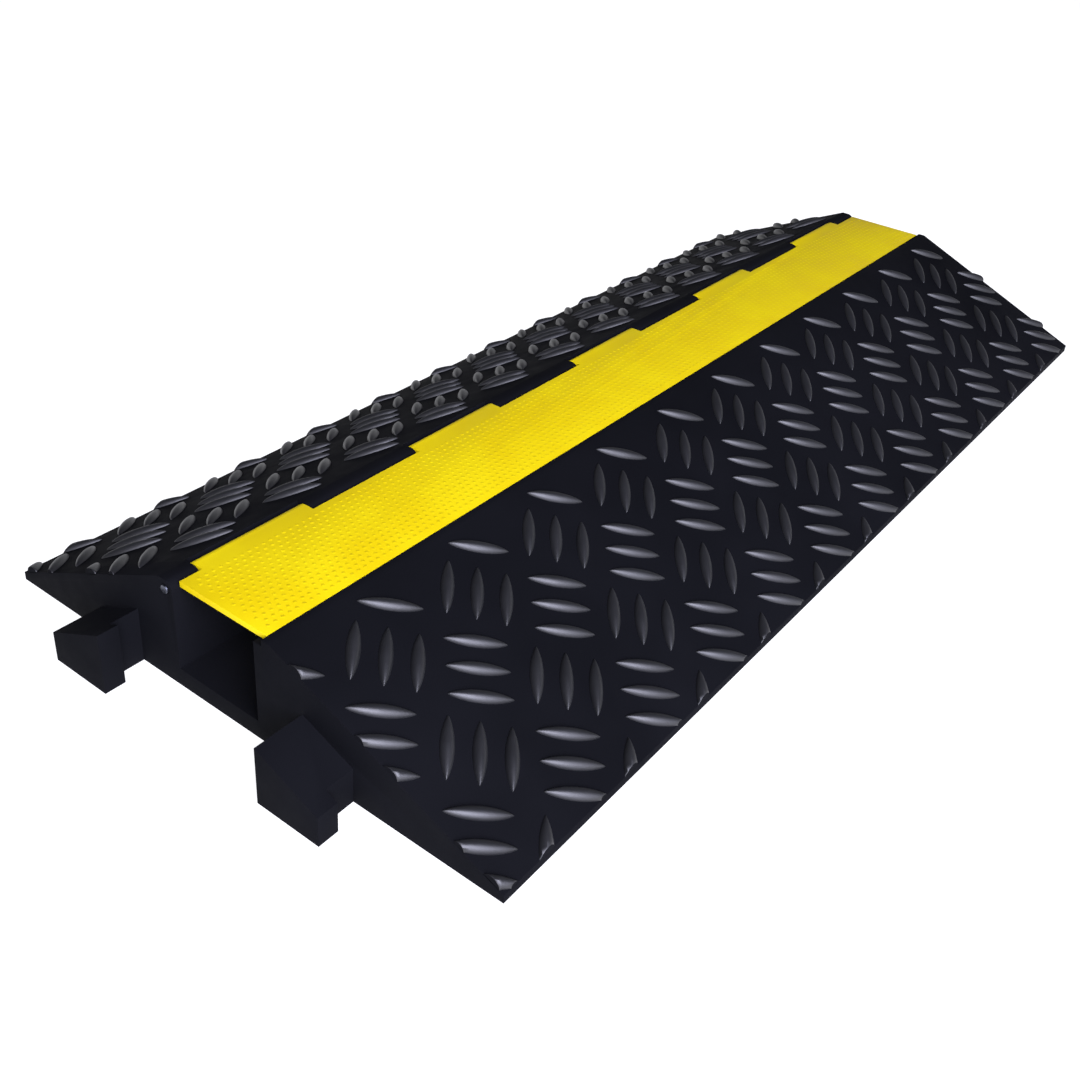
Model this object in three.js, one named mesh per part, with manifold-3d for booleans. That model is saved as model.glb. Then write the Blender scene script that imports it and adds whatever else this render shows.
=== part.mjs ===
import * as THREE from 'three';
import { mergeVertices } from 'three/addons/utils/BufferGeometryUtils.js';
import Module from 'manifold-3d';

// Drive-over cable protector: a black moulded base with one cable channel between two
// treaded ramps, a yellow lid hinged along the channel's back edge, and the hinge rod.
// Millimetres. X runs along the cable, Y across the ramps, Z up from the floor.
// The origin is the middle of the base's underside.

// Base section
const length = 914;
const width = 412;
const height = 76;
const toeHeight = 6;
const channelOffset = 11;
const channelWidth = 69;
const channelFloor = 13;
const ledgeWidth = 6.5;
const frontMargin = 6;
const backMargin = 6;

// Lid
const lidThickness = 4;
const lidEndGap = 5;
const lidFrontGap = 0.8;
const lidSeatGap = 0.3;
const tongueCount = 5;
const tongueLength = 89;
const tongueSideGap = 1;
const hookEndKnuckle = 22;
const socketEndKnuckle = 41;

// Hinge
const knuckleRadius = 6.5;
const knuckleGap = 1;
const pocketClearance = 0.6;
const rodRadius = 3;
const rodClearance = 0.3;
const rodStandout = 1;
const openAngle = THREE.MathUtils.degToRad(100);
const arcSegments = 10;
const rodSegments = 24;

// End connectors: hooks on one end, matching sockets in the other
const connectorWidth = 47.5;
const connectorReach = 35;
const connectorDepthBelowRamp = 25;
const hookLength = 14.5;
const hookOverhang = 9;
const frontConnectorSide = -61;
const backConnectorSide = 120;
const socketClearance = 1;

// A cutter reaches this far past the face that it opens.
const overcut = 5;

// Places worked out from the sizes above
const halfLength = length / 2;
const halfWidth = width / 2;
const channelFront = channelOffset - channelWidth / 2;
const channelBack = channelOffset + channelWidth / 2;
const ledgeFront = channelFront - ledgeWidth;
const ledgeTop = height - lidThickness - lidSeatGap;
const frontCrest = ledgeFront - frontMargin;
const hingeY = channelBack + knuckleRadius;
const hingeZ = height - knuckleRadius;
const backCrest = hingeY + backMargin;
const lidFront = ledgeFront + lidFrontGap;
const lidBack = hingeY - knuckleRadius - knuckleGap;
const tongueRoom = length - hookEndKnuckle - socketEndKnuckle;
const tonguePitch = (tongueRoom - tongueLength) / (tongueCount - 1);
const quarterTurn = Math.PI / 2;

const wasm = await Module();
wasm.setup();

// Solids

function toSolid(geometry) {
  const plain = geometry.index ? geometry.toNonIndexed() : geometry.clone();
  plain.deleteAttribute('normal');
  plain.deleteAttribute('uv');
  const merged = mergeVertices(plain);
  const vertProperties = new Float32Array(merged.attributes.position.array);
  const triVerts = new Uint32Array(merged.index.array);
  return new wasm.Manifold(new wasm.Mesh({ numProp: 3, vertProperties, triVerts }));
}

function toGeometry(solid) {
  const result = solid.getMesh();
  const geometry = new THREE.BufferGeometry();
  geometry.setAttribute('position', new THREE.BufferAttribute(result.vertProperties, result.numProp));
  geometry.setIndex(new THREE.BufferAttribute(result.triVerts, 1));
  const faceted = geometry.toNonIndexed();
  faceted.computeVertexNormals();
  return faceted;
}

// A section drawn in Y and Z, run along X between two ends.
function alongX(section, start, end) {
  const shape = section instanceof THREE.Shape ? section : new THREE.Shape(section);
  const geometry = new THREE.ExtrudeGeometry(shape, {
    depth: end - start, bevelEnabled: false, curveSegments: arcSegments,
  });
  const axes = new THREE.Matrix4().makeBasis(
    new THREE.Vector3(0, 1, 0), new THREE.Vector3(0, 0, 1), new THREE.Vector3(1, 0, 0),
  );
  geometry.applyMatrix4(axes);
  geometry.translate(start, 0, 0);
  return toSolid(geometry);
}

// An outline drawn in X and Y, raised along Z between two heights.
function alongZ(outline, bottom, top) {
  const geometry = new THREE.ExtrudeGeometry(new THREE.Shape(outline), {
    depth: top - bottom, bevelEnabled: false,
  });
  geometry.translate(0, 0, bottom);
  return toSolid(geometry);
}

function hingeCylinder(radius, start, end) {
  const geometry = new THREE.CylinderGeometry(radius, radius, end - start, rodSegments);
  geometry.rotateZ(-quarterTurn);
  geometry.translate((start + end) / 2, hingeY, hingeZ);
  return geometry;
}

function point(a, b) {
  return new THREE.Vector2(a, b);
}

// The height of the ramps' top faces at a place across the base
function rampHeight(y) {
  const fall = height - toeHeight;
  if (y < frontCrest) return height - fall * (frontCrest - y) / (frontCrest + halfWidth);
  if (y > backCrest) return height - fall * (y - backCrest) / (halfWidth - backCrest);
  return height;
}

// Base

function baseSection() {
  const shape = new THREE.Shape();
  shape.moveTo(-halfWidth, 0);
  shape.lineTo(halfWidth, 0);
  shape.lineTo(halfWidth, toeHeight);
  shape.lineTo(backCrest, height);
  shape.lineTo(hingeY, height);
  shape.absarc(hingeY, hingeZ, knuckleRadius, quarterTurn, 2 * quarterTurn, false);
  shape.lineTo(channelBack, channelFloor);
  shape.lineTo(channelFront, channelFloor);
  shape.lineTo(channelFront, ledgeTop);
  shape.lineTo(ledgeFront, ledgeTop);
  shape.lineTo(ledgeFront, height);
  shape.lineTo(frontCrest, height);
  shape.lineTo(-halfWidth, toeHeight);
  return shape;
}

// The pocket that a tongue of the lid turns in: a shelf under the tongue, round at its back,
// and a back wall that leans with the lid's outer face when the lid is fully open.
function pocketSection() {
  const reach = knuckleRadius + pocketClearance;
  const lean = openAngle - quarterTurn;
  const wallFootY = hingeY + reach * Math.cos(lean);
  const wallFootZ = hingeZ - reach * Math.sin(lean);
  const top = height + overcut;
  const shape = new THREE.Shape();
  shape.moveTo(channelBack - knuckleGap, hingeZ - reach);
  shape.lineTo(hingeY, hingeZ - reach);
  shape.absarc(hingeY, hingeZ, reach, -quarterTurn, -lean, false);
  shape.lineTo(wallFootY + (top - wallFootZ) * Math.tan(lean), top);
  shape.lineTo(channelBack - knuckleGap, top);
  return shape;
}

function tongueStart(index) {
  return -halfLength + hookEndKnuckle + index * tonguePitch;
}

// An L-shaped hook seen from above. It grows on all sides by a clearance where it cuts a socket.
function hookOutline(faceX, side, clearance) {
  const tip = faceX - connectorReach - clearance;
  const heel = faceX - connectorReach + hookLength + clearance;
  const root = faceX + overcut;
  const flush = side + clearance;
  const stem = side - connectorWidth + hookOverhang - clearance;
  const far = side - connectorWidth - clearance;
  return [
    point(tip, far), point(heel, far), point(heel, stem),
    point(root, stem), point(root, flush), point(tip, flush),
  ];
}

// The room under a ramp that hooks and sockets fill, a set depth below the ramp's top face
function underRamp(side, clearance, bottom, start, end) {
  const flush = side + clearance;
  const far = side - connectorWidth - clearance;
  const lift = clearance - connectorDepthBelowRamp;
  return alongX([
    point(far, bottom), point(flush, bottom),
    point(flush, rampHeight(flush) + lift), point(far, rampHeight(far) + lift),
  ], start, end);
}

function hookSolid(side) {
  const plan = alongZ(hookOutline(-halfLength, side, 0), 0, height);
  return plan.intersect(underRamp(side, 0, 0, -length, 0));
}

function socketSolid(side) {
  const plan = alongZ(hookOutline(halfLength, side, socketClearance), -overcut, height);
  return plan.intersect(underRamp(side, socketClearance, -overcut, 0, length));
}

function baseSolid() {
  let solid = alongX(baseSection(), -halfLength, halfLength);
  for (let i = 0; i < tongueCount; i += 1) {
    const start = tongueStart(i) - tongueSideGap;
    const end = tongueStart(i) + tongueLength + tongueSideGap;
    solid = solid.subtract(alongX(pocketSection(), start, end));
  }
  const boreRadius = rodRadius + rodClearance;
  const bore = hingeCylinder(boreRadius, -halfLength - overcut, halfLength + overcut);
  solid = solid.subtract(toSolid(bore));
  for (const side of [frontConnectorSide, backConnectorSide]) {
    solid = solid.add(hookSolid(side)).subtract(socketSolid(side));
  }
  return solid;
}

// Lid

function tongueSection() {
  const shape = new THREE.Shape();
  shape.moveTo(lidFront, height - lidThickness);
  shape.lineTo(hingeY - knuckleRadius, height - lidThickness);
  shape.lineTo(hingeY - knuckleRadius, hingeZ);
  shape.absarc(hingeY, hingeZ, knuckleRadius, -2 * quarterTurn, quarterTurn, false);
  shape.lineTo(lidFront, height);
  return shape;
}

function lidSolid() {
  const bottom = height - lidThickness;
  const plate = [
    point(lidFront, bottom), point(lidBack, bottom), point(lidBack, height), point(lidFront, height),
  ];
  let solid = alongX(plate, -halfLength + lidEndGap, halfLength - lidEndGap);
  for (let i = 0; i < tongueCount; i += 1) {
    solid = solid.add(alongX(tongueSection(), tongueStart(i), tongueStart(i) + tongueLength));
  }
  const bore = hingeCylinder(rodRadius + rodClearance, -halfLength, halfLength);
  return solid.subtract(toSolid(bore));
}

// Materials

const blackRubber = new THREE.MeshStandardMaterial({ color: 0x15171d, roughness: 0.55, metalness: 0 });
const yellowPlastic = new THREE.MeshStandardMaterial({ color: 0xe9d314, roughness: 0.5, metalness: 0 });
const brightSteel = new THREE.MeshStandardMaterial({ color: 0xc6ccd4, roughness: 0.35, metalness: 1 });

// Assembly

const group = new THREE.Group();

function addPiece(name, geometry, material) {
  const mesh = new THREE.Mesh(geometry, material);
  mesh.name = name;
  group.add(mesh);
}

const rodEnd = halfLength + rodStandout;
addPiece('base_moulding', toGeometry(baseSolid()), blackRubber);
addPiece('channel_lid', toGeometry(lidSolid()), yellowPlastic);
addPiece('hinge_rod', hingeCylinder(rodRadius, -rodEnd, rodEnd), brightSteel);

export default group;
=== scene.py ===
import math

import bmesh
import bpy
from mathutils import Matrix, Vector


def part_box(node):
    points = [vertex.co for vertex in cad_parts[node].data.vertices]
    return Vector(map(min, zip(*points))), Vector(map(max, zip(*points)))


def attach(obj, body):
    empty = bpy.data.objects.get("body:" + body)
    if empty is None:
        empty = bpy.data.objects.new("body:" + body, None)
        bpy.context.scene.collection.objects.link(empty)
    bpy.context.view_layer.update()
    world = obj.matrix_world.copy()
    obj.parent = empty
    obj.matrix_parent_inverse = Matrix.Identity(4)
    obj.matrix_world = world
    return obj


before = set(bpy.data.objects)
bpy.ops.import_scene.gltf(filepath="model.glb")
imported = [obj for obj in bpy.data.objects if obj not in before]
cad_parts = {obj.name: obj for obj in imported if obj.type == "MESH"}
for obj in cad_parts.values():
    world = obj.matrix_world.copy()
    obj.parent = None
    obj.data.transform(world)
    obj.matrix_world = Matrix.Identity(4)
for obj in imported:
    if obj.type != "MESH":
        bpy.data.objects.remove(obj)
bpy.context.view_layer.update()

# The dressed cable protector: the base, lid and rod keep their solids, with rounded edges and
# moulded finishes. The raised bars of both ramps and the studs of the lid are added here.
# Metres throughout. +X runs along the unit from its hooks, +Y towards the hinge, +Z up.

MM = 0.001

# Places on the unit, as in the solids
HALF_LENGTH = 457 * MM
HALF_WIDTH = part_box("base_moulding")[1].y
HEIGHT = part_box("base_moulding")[1].z
TOE_HEIGHT = 6 * MM
FRONT_CREST = -36 * MM
BACK_CREST = 58 * MM
LID_LOW, LID_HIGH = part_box("channel_lid")
LID_BACK = 44.5 * MM

# Raised bars of the tread: groups of three, turned nearly a quarter from one to the next.
# first_x and first_s give the middle of one group, from the hook end and down from the crest.
FRONT_GROUPS = {"along": 80.4 * MM, "down": 76.5 * MM, "first_x": 10 * MM, "first_s": 5.3 * MM}
BACK_GROUPS = {"along": 75.4 * MM, "down": 76.5 * MM, "first_x": 12 * MM, "first_s": -14.5 * MM}
BAR_ANGLE = math.radians(42)
BAR_SPACING = 19 * MM
BAR_LENGTH = 41 * MM
BAR_WIDTH = 9.2 * MM
BAR_HEIGHT = 4 * MM
BAR_SINK = 0.4 * MM
BAR_OVERHANG = 4 * MM
BARS_IN_GROUP = 3
BAR_STEPS_LONG = 16
BAR_STEPS_ACROSS = 10
CUT_SLOT = 1

# Powers that shape a bar from above, along its crest and across it. A lower one is fuller.
BAR_PLAN_POWER = 0.8
BAR_CREST_POWER = 0.6
BAR_SECTION_POWER = 1.3

# Studs of the lid. The profile's rings are shares of the radius and of the height.
STUD_PITCH = 5.5 * MM
STUD_RADIUS = 1.5 * MM
STUD_HEIGHT = 0.2 * MM
STUD_MARGIN = 4 * MM
STUD_SIDES = 8
STUD_PROFILE = ((1.0, -0.4), (0.8, 0.55), (0.4, 0.93))

# Edge rounding of the solids, and the limits for welding, flattening and shading them
BASE_ROUND = 1.2 * MM
LID_ROUND = 1.3 * MM
ROD_ROUND = 0.5 * MM
ROUND_STEPS = 3
ROUND_FROM = math.radians(30)
SHARP_FROM = math.radians(32)
FLAT_WITHIN = math.radians(0.5)
WELD_WITHIN = 0.01 * MM

# Marks of the drawn rod per metre: few along it, many across it
ROD_MARKS = (40, 2500, 2500)

# Floor, backdrop and lights. Every light points at the origin.
FLOOR_HALF = 12
FLOOR_GLOW = 0.90
BACKDROP_COLOUR = (0.96, 0.97, 1.0, 1)
HORIZON_STRENGTH = 0.62
OVERHEAD_STRENGTH = 0.08
OVERHEAD_FROM = 0.5
LIGHTS = {
    "key": {
        "place": (-1.5, -2.2, 1.6), "size": (2.1, 2.4), "power": 245, "colour": (0.78, 0.79, 1.0),
    },
    "near_fill": {
        "place": (-1.9, -1.6, 1.5), "size": (2.4, 2.0), "power": 16, "colour": (1, 0.97, 0.93),
    },
}

# The photograph's viewpoint
CAMERA_PLACE = Vector((-810, -455, 519)) * MM
CAMERA_AZIMUTH = math.radians(-54.99)
CAMERA_ELEVATION = math.radians(31.47)
CAMERA_ROLL = math.radians(4.55)
IMAGE_SIDE = 1080
FOCAL_PIXELS = 1252.2
CENTRE_ROW = 480
SENSOR = 36.0
CLIP_START = 0.01


# Node helpers

def new_material(name):
    material = bpy.data.materials.new(name)
    material.use_nodes = True
    nodes = material.node_tree.nodes
    links = material.node_tree.links
    return material, nodes, links, nodes["Principled BSDF"]


def object_coordinates(nodes):
    return nodes.new("ShaderNodeTexCoord").outputs["Object"]


def noise(nodes, links, source, scale, detail):
    node = nodes.new("ShaderNodeTexNoise")
    node.inputs["Scale"].default_value = scale
    node.inputs["Detail"].default_value = detail
    links.new(source, node.inputs["Vector"])
    return node.outputs["Fac"]


def spread(nodes, links, value, across, onto):
    """Maps the range that a value lies across onto another range."""
    node = nodes.new("ShaderNodeMapRange")
    node.inputs["From Min"].default_value, node.inputs["From Max"].default_value = across
    node.inputs["To Min"].default_value, node.inputs["To Max"].default_value = onto
    links.new(value, node.inputs["Value"])
    return node.outputs["Result"]


def blend_colours(nodes, links, share, first, second):
    node = nodes.new("ShaderNodeMix")
    node.data_type = "RGBA"
    sockets = [socket for socket in node.inputs if socket.type == "RGBA"]
    links.new(share, node.inputs["Factor"])
    for socket, colour in zip(sockets, (first, second)):
        socket.default_value = (*colour, 1)
    return [socket for socket in node.outputs if socket.type == "RGBA"][0]


def bump(nodes, links, height, strength, distance, below=None):
    node = nodes.new("ShaderNodeBump")
    node.inputs["Strength"].default_value = strength
    node.inputs["Distance"].default_value = distance
    links.new(height, node.inputs["Height"])
    if below is not None:
        links.new(below, node.inputs["Normal"])
    return node.outputs["Normal"]


# Finishes

def black_moulding(name, roughness, shine):
    material, nodes, links, shader = new_material(name)
    place = object_coordinates(nodes)
    clouds = noise(nodes, links, place, scale=9, detail=3)
    grain = noise(nodes, links, place, scale=900, detail=2)
    ripple = noise(nodes, links, place, scale=70, detail=2)
    share = spread(nodes, links, clouds, across=(0.35, 0.65), onto=(0, 1))
    darker, lighter = (0.0044, 0.0046, 0.0058), (0.0060, 0.0062, 0.0078)
    links.new(blend_colours(nodes, links, share, darker, lighter), shader.inputs["Base Color"])
    uneven = spread(nodes, links, ripple, across=(0.3, 0.7), onto=roughness)
    links.new(uneven, shader.inputs["Roughness"])
    waves = bump(nodes, links, ripple, strength=0.12, distance=0.4 * MM)
    surface = bump(nodes, links, grain, strength=0.35, distance=0.12 * MM, below=waves)
    links.new(surface, shader.inputs["Normal"])
    shader.inputs["Specular IOR Level"].default_value = shine
    return material


def yellow_plastic():
    material, nodes, links, shader = new_material("lid_yellow")
    place = object_coordinates(nodes)
    clouds = noise(nodes, links, place, scale=22, detail=4)
    grain = noise(nodes, links, place, scale=1400, detail=2)
    share = spread(nodes, links, clouds, across=(0.35, 0.65), onto=(0, 1))
    deeper, paler = (0.67, 0.50, 0.003), (0.71, 0.56, 0.004)
    links.new(blend_colours(nodes, links, share, deeper, paler), shader.inputs["Base Color"])
    uneven = spread(nodes, links, clouds, across=(0.3, 0.7), onto=(0.42, 0.58))
    links.new(uneven, shader.inputs["Roughness"])
    surface = bump(nodes, links, grain, strength=0.4, distance=0.1 * MM)
    links.new(surface, shader.inputs["Normal"])
    shader.inputs["Specular IOR Level"].default_value = 0.06
    return material


def drawn_steel():
    material, nodes, links, shader = new_material("rod_steel")
    stretch = nodes.new("ShaderNodeMapping")
    stretch.inputs["Scale"].default_value = ROD_MARKS
    links.new(object_coordinates(nodes), stretch.inputs["Vector"])
    lines = noise(nodes, links, stretch.outputs["Vector"], scale=1, detail=2)
    shader.inputs["Base Color"].default_value = (0.10, 0.105, 0.13, 1)
    shader.inputs["Metallic"].default_value = 1
    uneven = spread(nodes, links, lines, across=(0.3, 0.7), onto=(0.25, 0.45))
    links.new(uneven, shader.inputs["Roughness"])
    surface = bump(nodes, links, lines, strength=0.2, distance=0.05 * MM)
    links.new(surface, shader.inputs["Normal"])
    return material


def floor_paper():
    material, nodes, links, shader = new_material("floor_paper")
    fibres = noise(nodes, links, object_coordinates(nodes), scale=60, detail=3)
    share = spread(nodes, links, fibres, across=(0.3, 0.7), onto=(0, 1))
    darker, lighter = (0.30, 0.30, 0.30), (0.32, 0.32, 0.32)
    links.new(blend_colours(nodes, links, share, darker, lighter), shader.inputs["Base Color"])
    shader.inputs["Roughness"].default_value = 0.9
    shader.inputs["Specular IOR Level"].default_value = 0.1
    shader.inputs["Emission Color"].default_value = (1, 1, 1, 1)
    shader.inputs["Emission Strength"].default_value = FLOOR_GLOW
    return material


# Dressing of the solids

def smoothing_group():
    """Nodes that shade faces smooth, with edges sharp where they turn by over SHARP_FROM."""
    group = bpy.data.node_groups.new("smooth_by_angle", "GeometryNodeTree")
    group.interface.new_socket("Geometry", in_out="INPUT", socket_type="NodeSocketGeometry")
    group.interface.new_socket("Geometry", in_out="OUTPUT", socket_type="NodeSocketGeometry")
    start = group.nodes.new("NodeGroupInput")
    end = group.nodes.new("NodeGroupOutput")
    faces = group.nodes.new("GeometryNodeSetShadeSmooth")
    edges = group.nodes.new("GeometryNodeSetShadeSmooth")
    angle = group.nodes.new("GeometryNodeInputMeshEdgeAngle")
    compare = group.nodes.new("FunctionNodeCompare")
    compare.operation = "GREATER_THAN"
    compare.inputs["B"].default_value = SHARP_FROM
    edges.domain = "EDGE"
    edges.inputs["Shade Smooth"].default_value = False
    group.links.new(start.outputs[0], faces.inputs["Geometry"])
    group.links.new(faces.outputs["Geometry"], edges.inputs["Geometry"])
    group.links.new(angle.outputs["Unsigned Angle"], compare.inputs["A"])
    group.links.new(compare.outputs["Result"], edges.inputs["Selection"])
    group.links.new(edges.outputs["Geometry"], end.inputs[0])
    return group


def dress_solid(name, material, rounding, smoothing):
    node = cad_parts[name]
    node.data.materials.clear()
    node.data.materials.append(material)
    weld = node.modifiers.new("weld", "WELD")
    weld.merge_threshold = WELD_WITHIN
    flat = node.modifiers.new("flat", "DECIMATE")
    flat.decimate_type = "DISSOLVE"
    flat.angle_limit = FLAT_WITHIN
    bevel = node.modifiers.new("bevel", "BEVEL")
    bevel.width = rounding
    bevel.segments = ROUND_STEPS
    bevel.limit_method = "ANGLE"
    bevel.angle_limit = ROUND_FROM
    bevel.use_clamp_overlap = True
    smooth = node.modifiers.new("smooth", "NODES")
    smooth.node_group = smoothing


# Added pieces

def smooth_faces(made):
    for face in made.faces:
        face.smooth = True


def mesh_piece(name, build, materials, body):
    made = bmesh.new()
    build(made)
    data = bpy.data.meshes.new(name)
    made.normal_update()
    made.to_mesh(data)
    made.free()
    for material in materials:
        data.materials.append(material)
    piece = bpy.data.objects.new(name, data)
    bpy.context.scene.collection.objects.link(piece)
    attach(piece, body)


# Tread

def ramp_frame(crest_y, toe_y):
    """The crest's end at the hooks, and the ramp's slope direction, outward normal and slope length."""
    crest = Vector((-HALF_LENGTH, crest_y, HEIGHT))
    down = Vector((0, toe_y - crest_y, TOE_HEIGHT - HEIGHT))
    run = down.length
    down.normalize()
    normal = Vector((1, 0, 0)).cross(down)
    if normal.z < 0:
        normal = -normal
    return crest, down, normal, run


def bar_places(run, groups):
    """The middle and angle of each bar, as distances along the ramp and down it."""
    columns = math.ceil(2 * HALF_LENGTH / groups["along"]) + 1
    rows = math.ceil(run / groups["down"]) + 1
    reach = BAR_LENGTH / 2 * math.sin(BAR_ANGLE)
    for shift, angle in ((0.0, BAR_ANGLE), (0.5, -BAR_ANGLE)):
        for column in range(-1, columns):
            for row in range(-1, rows):
                middle_x = groups["first_x"] + (column + shift) * groups["along"]
                middle_s = groups["first_s"] + (row + shift) * groups["down"]
                for index in range(BARS_IN_GROUP):
                    step = (index - (BARS_IN_GROUP - 1) / 2) * BAR_SPACING
                    x = middle_x - step * math.sin(angle)
                    s = middle_s + step * math.cos(angle)
                    on_length = -BAR_OVERHANG < x < 2 * HALF_LENGTH + BAR_OVERHANG
                    if on_length and reach < s < run + BAR_OVERHANG:
                        yield x, s, angle


def add_bar(made, origin, along, across, normal):
    """One lens-shaped bar: pointed in plan, round in section, closed underneath."""
    rings = []
    for i in range(1, BAR_STEPS_LONG):
        t = -math.cos(math.pi * i / BAR_STEPS_LONG)
        body = 1 - t * t
        half_width = BAR_WIDTH / 2 * body ** BAR_PLAN_POWER
        height = BAR_HEIGHT * body ** BAR_CREST_POWER + BAR_SINK
        middle = origin + along * (t * BAR_LENGTH / 2) - normal * BAR_SINK
        ring = []
        for j in range(BAR_STEPS_ACROSS + 1):
            turn = math.pi * j / BAR_STEPS_ACROSS
            side = math.cos(turn) * half_width
            rise = math.sin(turn) ** BAR_SECTION_POWER * height
            ring.append(made.verts.new(middle + across * side + normal * rise))
        rings.append(ring)
    tips = []
    for t in (-1, 1):
        tips.append(made.verts.new(origin + along * (t * BAR_LENGTH / 2) - normal * BAR_SINK))
    for first, second in zip(rings, rings[1:]):
        for j in range(BAR_STEPS_ACROSS):
            made.faces.new((first[j], second[j], second[j + 1], first[j + 1]))
        made.faces.new((first[-1], second[-1], second[0], first[0]))
    for tip, ring, order in ((tips[0], rings[0], 1), (tips[1], rings[-1], -1)):
        for j in range(BAR_STEPS_ACROSS):
            made.faces.new((tip, ring[j], ring[j + 1])[::order])
        made.faces.new((tip, ring[-1], ring[0])[::order])


def trim(made, place, outward):
    """Cuts the bars off level with a face of the unit and closes the cuts with flat faces."""
    bmesh.ops.bisect_plane(
        made, geom=made.verts[:] + made.edges[:] + made.faces[:],
        plane_co=place, plane_no=outward, clear_outer=True,
    )
    open_edges = [edge for edge in made.edges if edge.is_boundary]
    if open_edges:
        for face in bmesh.ops.holes_fill(made, edges=open_edges)["faces"]:
            face.smooth = False
            face.material_index = CUT_SLOT


def tread_builder(crest_y, toe_y, groups):
    def build(made):
        crest, down, normal, run = ramp_frame(crest_y, toe_y)
        for x, s, angle in bar_places(run, groups):
            along = Vector((1, 0, 0)) * math.cos(angle) + down * math.sin(angle)
            across = normal.cross(along)
            origin = crest + Vector((x, 0, 0)) + down * s
            add_bar(made, origin, along, across, normal)
        smooth_faces(made)
        for side in (-1, 1):
            trim(made, (side * HALF_LENGTH, 0, 0), (side, 0, 0))
        trim(made, (0, toe_y, 0), (0, math.copysign(1, toe_y), 0))
        bmesh.ops.recalc_face_normals(made, faces=made.faces[:])
    return build


# Lid studs

def build_studs(made):
    """Staggered rows of studs over the lid's plate, up to its back edge between the tongues."""
    row_step = STUD_PITCH * math.sqrt(3) / 2
    low_x, high_x = LID_LOW.x + STUD_MARGIN, LID_HIGH.x - STUD_MARGIN
    low_y, high_y = LID_LOW.y + STUD_MARGIN, LID_BACK - STUD_MARGIN
    rows = int((high_y - low_y) / row_step)
    columns = int((high_x - low_x) / STUD_PITCH)
    start_x = (low_x + high_x - columns * STUD_PITCH) / 2
    start_y = (low_y + high_y - rows * row_step) / 2
    for row in range(rows + 1):
        staggered = row % 2 == 1
        row_x = start_x + (STUD_PITCH / 2 if staggered else 0)
        row_y = start_y + row * row_step
        for column in range(columns if staggered else columns + 1):
            add_stud(made, Vector((row_x + column * STUD_PITCH, row_y, LID_HIGH.z)))
    smooth_faces(made)


def add_stud(made, middle):
    rings = []
    for radius, rise in STUD_PROFILE:
        ring = []
        for k in range(STUD_SIDES):
            turn = 2 * math.pi * k / STUD_SIDES
            out = Vector((math.cos(turn), math.sin(turn), 0)) * (radius * STUD_RADIUS)
            ring.append(made.verts.new(middle + out + Vector((0, 0, rise * STUD_HEIGHT))))
        rings.append(ring)
    top = made.verts.new(middle + Vector((0, 0, STUD_HEIGHT)))
    for lower, upper in zip(rings, rings[1:]):
        for k in range(STUD_SIDES):
            n = (k + 1) % STUD_SIDES
            made.faces.new((lower[k], lower[n], upper[n], upper[k]))
    for k in range(STUD_SIDES):
        made.faces.new((rings[-1][k], rings[-1][(k + 1) % STUD_SIDES], top))


# Stage

def pale_floor():
    half = FLOOR_HALF
    data = bpy.data.meshes.new("floor")
    corners = [(-half, -half, 0), (half, -half, 0), (half, half, 0), (-half, half, 0)]
    data.from_pydata(corners, [], [(0, 1, 2, 3)])
    data.materials.append(floor_paper())
    floor = bpy.data.objects.new("floor", data)
    bpy.context.scene.collection.objects.link(floor)


def soft_light(name, place, size, power, colour):
    light = bpy.data.lights.new(name, "AREA")
    light.shape = "RECTANGLE"
    light.size, light.size_y = size
    light.energy = power
    light.color = colour
    lamp = bpy.data.objects.new(name, light)
    lamp.location = place
    lamp.rotation_euler = (-Vector(place)).to_track_quat("-Z", "Y").to_euler()
    bpy.context.scene.collection.objects.link(lamp)


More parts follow.
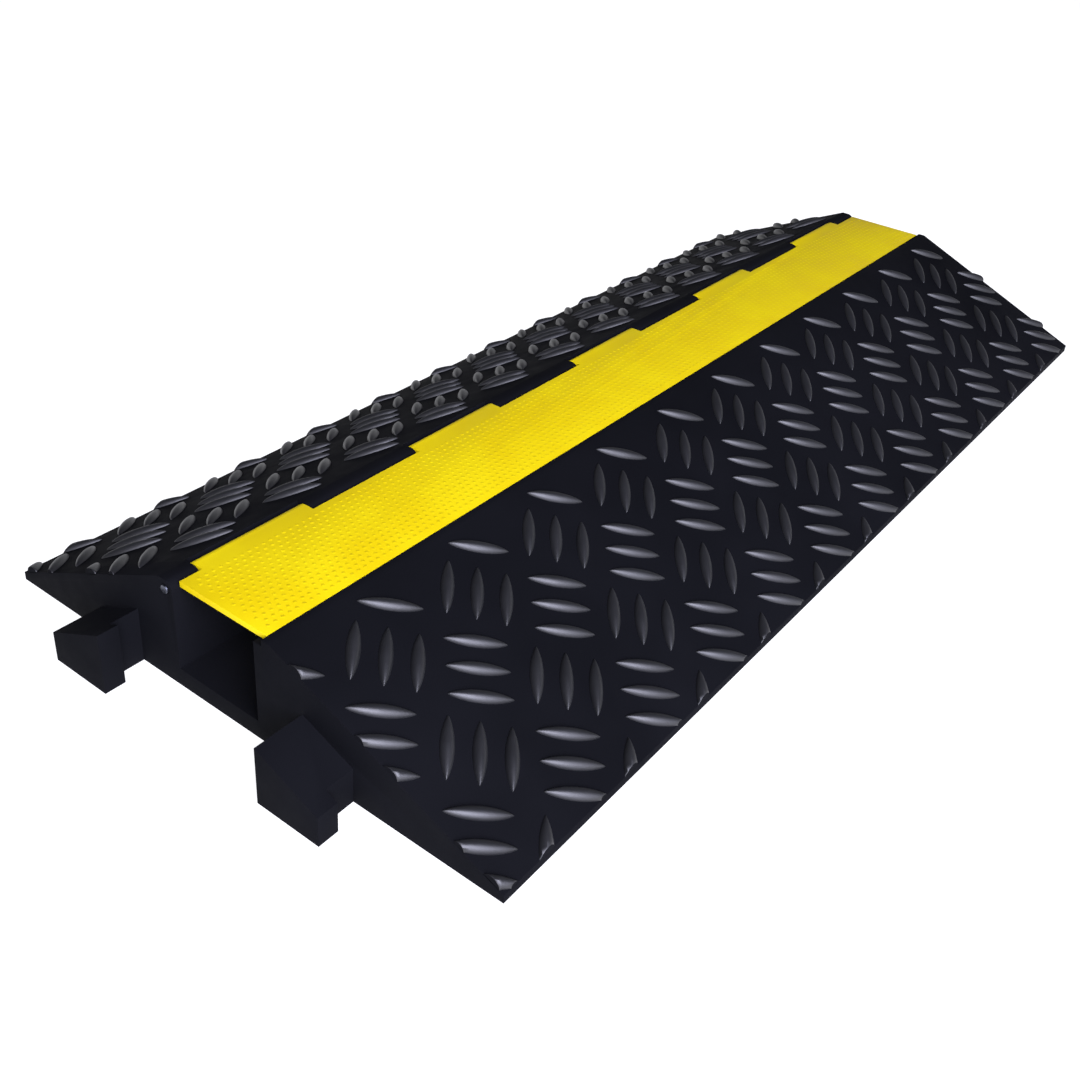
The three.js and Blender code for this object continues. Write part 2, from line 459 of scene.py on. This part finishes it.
def studio_world():
    """A backdrop that is pale at the horizon and dark overhead."""
    world = bpy.data.worlds.new("studio")
    world.use_nodes = True
    nodes, links = world.node_tree.nodes, world.node_tree.links
    direction = nodes.new("ShaderNodeSeparateXYZ")
    links.new(nodes.new("ShaderNodeTexCoord").outputs["Generated"], direction.inputs["Vector"])
    background = nodes["Background"]
    background.inputs["Color"].default_value = BACKDROP_COLOUR
    strengths = (HORIZON_STRENGTH, OVERHEAD_STRENGTH)
    strength = spread(nodes, links, direction.outputs["Z"], across=(0, OVERHEAD_FROM), onto=strengths)
    links.new(strength, background.inputs["Strength"])
    bpy.context.scene.world = world


def studio_light():
    studio_world()
    for name, light in LIGHTS.items():
        soft_light(name, **light)
    bpy.context.scene.view_settings.view_transform = "Standard"


def photo_camera():
    azimuth, elevation, roll = CAMERA_AZIMUTH, CAMERA_ELEVATION, CAMERA_ROLL
    forward = Vector((
        -math.sin(azimuth) * math.cos(elevation),
        math.cos(azimuth) * math.cos(elevation),
        -math.sin(elevation),
    ))
    level = Vector((math.cos(azimuth), math.sin(azimuth), 0))
    upward = level.cross(forward)
    right = level * math.cos(roll) + upward * math.sin(roll)
    top = upward * math.cos(roll) - level * math.sin(roll)
    turned = Matrix((right, top, -forward)).transposed().to_4x4()
    data = bpy.data.cameras.new("photo_camera")
    data.sensor_width = SENSOR
    data.lens = SENSOR * FOCAL_PIXELS / IMAGE_SIDE
    data.shift_y = -(IMAGE_SIDE / 2 - CENTRE_ROW) / IMAGE_SIDE
    data.clip_start = CLIP_START
    camera = bpy.data.objects.new("photo_camera", data)
    camera.matrix_world = Matrix.Translation(CAMERA_PLACE) @ turned
    bpy.context.scene.collection.objects.link(camera)
    bpy.context.scene.camera = camera


# Assembly

base_black = black_moulding("base_black", roughness=(0.70, 0.80), shine=0.02)
bar_black = black_moulding("bar_black", roughness=(0.46, 0.54), shine=0.8)
tread_blacks = [bar_black, base_black]
lid_yellow = yellow_plastic()

smoothing = smoothing_group()
dress_solid("base_moulding", base_black, BASE_ROUND, smoothing)
dress_solid("channel_lid", lid_yellow, LID_ROUND, smoothing)
dress_solid("hinge_rod", drawn_steel(), ROD_ROUND, smoothing)

build_front = tread_builder(FRONT_CREST, -HALF_WIDTH, FRONT_GROUPS)
build_back = tread_builder(BACK_CREST, HALF_WIDTH, BACK_GROUPS)
mesh_piece("front_tread", build_front, tread_blacks, "base")
mesh_piece("back_tread", build_back, tread_blacks, "base")
mesh_piece("lid_studs", build_studs, [lid_yellow], "lid")

pale_floor()
studio_light()
photo_camera()
